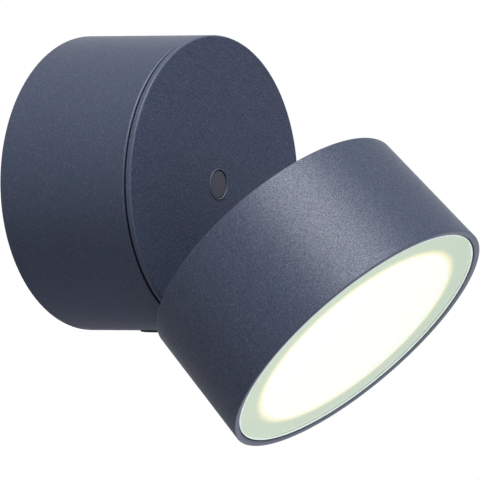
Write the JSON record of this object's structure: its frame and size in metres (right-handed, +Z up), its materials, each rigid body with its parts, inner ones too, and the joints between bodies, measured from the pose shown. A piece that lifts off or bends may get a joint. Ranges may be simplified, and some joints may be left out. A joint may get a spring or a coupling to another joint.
{
  "type": "outdoor wall light",
  "caption": "Round outdoor wall light: a wall drum with a swivelling cap carries a short drum-shaped LED head on a friction hinge, behind frosted glass.",
  "frame": {"origin": "centre of the wall bracket's back face, in the plane of the wall, on the drum's axis", "axes": "+Z up, -Y out from the wall along the drum's axis, +X to the right seen from in front"},
  "size_m": [0.105, 0.1434, 0.1407],
  "materials": {
    "powder_coat": "matte",
    "plug_plastic": "matte",
    "zinc_steel": "satin",
    "black_steel": "satin",
    "brass": "satin",
    "black_rubber": "matte",
    "grey_silicone": "matte",
    "white_nylon": "satin",
    "driver_plastic": "matte",
    "reflector_white": "satin",
    "opal": "satin",
    "frosted_glass": "gloss",
    "board_white": "satin",
    "led": "satin"
  },
  "bodies": {
    "wall_base": {"base_drum": "powder_coat", "wall_gasket": "black_rubber", "wall_bracket": "zinc_steel", "cable_grommet": "black_rubber", "drum_fixing_screw": "black_steel", "fixing_nut": "zinc_steel", "led_driver": "driver_plastic", "driver_screws": "zinc_steel", "terminal_block": "white_nylon", "terminal_screws": "brass", "earth_screw": "brass", "swivel_bolt": "zinc_steel", "thrust_washer": "white_nylon", "disc_spring": "zinc_steel", "swivel_nut": "zinc_steel"},
    "cap": {"swivel_cap": "powder_coat", "cap_seal_ring": "black_rubber", "centre_plug": "plug_plastic", "swivel_stop_pin": "zinc_steel", "hinge_lug": "powder_coat", "hinge_lug_screws": "zinc_steel", "cap_gland": "black_rubber"},
    "lamp_head": {"head_housing": "powder_coat", "hinge_bracket": "powder_coat", "hinge_bracket_screws": "zinc_steel", "hinge_pin": "black_steel", "hinge_nut": "zinc_steel", "friction_washers": "white_nylon", "head_gland": "black_rubber", "thermal_pad": "grey_silicone", "led_board": "board_white", "led_chips": "led", "led_board_screws": "zinc_steel", "reflector": "reflector_white", "diffuser": "opal", "lens_gasket": "black_rubber", "glass_lens": "frosted_glass"}
  },
  "joints": [
    {"name": "cap_swivel", "type": "hinge", "parent": "wall_base", "child": "cap", "pos_m": [0, -0.053, 0], "axis": [0, -1, 0], "range_deg": [-170, 170]},
    {"name": "head_tilt", "type": "hinge", "parent": "cap", "child": "lamp_head", "pos_m": [0, -0.05775, -0.04425], "axis": [1, 0, 0], "range_deg": [-44, 11]}
  ]
}
